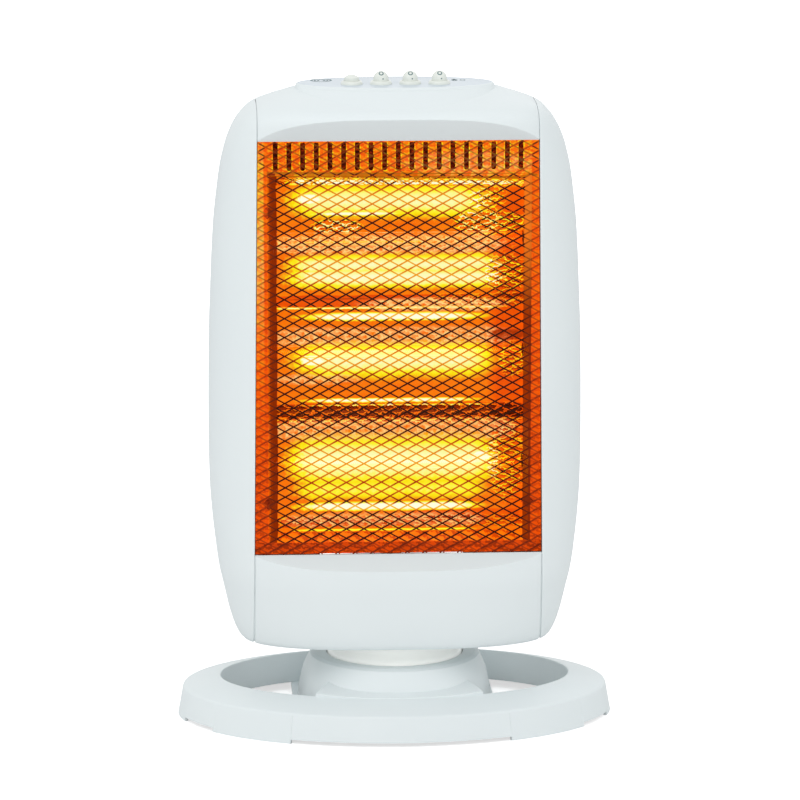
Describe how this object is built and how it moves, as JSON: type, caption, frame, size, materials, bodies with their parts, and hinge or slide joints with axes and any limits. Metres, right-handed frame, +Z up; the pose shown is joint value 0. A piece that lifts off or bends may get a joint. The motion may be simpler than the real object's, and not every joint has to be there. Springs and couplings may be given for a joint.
{
  "type": "halogen heater",
  "caption": "Tall rounded halogen heater with a mesh front over glowing reflector troughs, push buttons on its roof and a swinging head on an oval ring base.",
  "frame": {"origin": "on the floor, on the swing axis, at the middle of the base", "axes": "+Z up, -Y towards the room in front of the heater, +X to the right in the picture"},
  "size_m": [0.335, 0.224, 0.5],
  "materials": {
    "shell_plastic": "satin",
    "cream_plastic": "satin",
    "bearing_plastic": "matte",
    "dark_plastic": "matte",
    "zinc_steel": "satin",
    "reflector_sheet": "bright",
    "grille_metal": "bright",
    "quartz_glass": "clear",
    "filament_wire": "glowing",
    "cap_ceramic": "matte"
  },
  "bodies": {
    "base": {"base_moulding": "shell_plastic", "base_underplate": "shell_plastic", "underplate_screws": "zinc_steel", "bearing_ring": "bearing_plastic", "swivel_bush": "bearing_plastic", "oscillation_motor": "zinc_steel", "motor_screws": "zinc_steel", "tip_switch": "dark_plastic", "cord_gland": "dark_plastic"},
    "head": {"turntable": "cream_plastic", "swivel_retainer": "zinc_steel", "retainer_screws": "zinc_steel", "turntable_screws": "zinc_steel", "head_floor": "shell_plastic", "left_side_shell": "shell_plastic", "right_side_shell": "shell_plastic", "top_cover": "shell_plastic", "chin_cover": "shell_plastic", "rear_cover": "shell_plastic", "rear_screws": "zinc_steel", "grille": "grille_metal", "heat_tray": "reflector_sheet", "tray_clips": "reflector_sheet", "reflector_1": "reflector_sheet", "reflector_2": "reflector_sheet", "reflector_3": "reflector_sheet", "quartz_tube_1": "quartz_glass", "quartz_tube_2": "quartz_glass", "quartz_tube_3": "quartz_glass", "filament_1": "filament_wire", "filament_2": "filament_wire", "filament_3": "filament_wire", "end_caps_1": "cap_ceramic", "end_caps_2": "cap_ceramic", "end_caps_3": "cap_ceramic", "lamp_bracket_left": "zinc_steel", "lamp_bracket_right": "zinc_steel", "thermal_cutout": "dark_plastic", "terminal_block": "bearing_plastic", "control_panel": "shell_plastic", "button_collars": "cream_plastic", "switch_bank": "dark_plastic"},
    "crank": {"crank_arm": "bearing_plastic"},
    "tip_sensor": {"tip_plunger": "dark_plastic"},
    "oscillation_push": {"oscillation_button": "cream_plastic"},
    "heat_push_1": {"heat_button_1": "cream_plastic"},
    "heat_push_2": {"heat_button_2": "cream_plastic"},
    "heat_push_3": {"heat_button_3": "cream_plastic"}
  },
  "joints": [
    {"name": "head_swing", "type": "hinge", "parent": "base", "child": "head", "pos_m": [0, 0, 0.046], "axis": [0, 0, 1], "range_deg": [-30, 30]},
    {"name": "crank_turn", "type": "hinge", "parent": "base", "child": "crank", "pos_m": [0, 0.028, 0.04], "axis": [0, 0, 1], "range_deg": [-99, 99]},
    {"name": "tip_sensor_slide", "type": "slide", "parent": "base", "child": "tip_sensor", "axis": [0, 0, -1], "range_m": [0, 0.005], "stiffness_N_per_m": 50, "springref_m": 0.008},
    {"name": "oscillation_press", "type": "slide", "parent": "head", "child": "oscillation_push", "axis": [0, 0, -1], "range_m": [0, 0.003], "stiffness_N_per_m": 150, "springref_m": -0.002},
    {"name": "heat_press_1", "type": "slide", "parent": "head", "child": "heat_push_1", "axis": [0, 0, -1], "range_m": [0, 0.003], "stiffness_N_per_m": 150, "springref_m": -0.002},
    {"name": "heat_press_2", "type": "slide", "parent": "head", "child": "heat_push_2", "axis": [0, 0, -1], "range_m": [0, 0.003], "stiffness_N_per_m": 150, "springref_m": -0.002},
    {"name": "heat_press_3", "type": "slide", "parent": "head", "child": "heat_push_3", "axis": [0, 0, -1], "range_m": [0, 0.003], "stiffness_N_per_m": 150, "springref_m": -0.002}
  ],
  "couplings": [
    {"joint": "crank_turn", "follows": "head_swing", "ratio": 3.3}
  ]
}
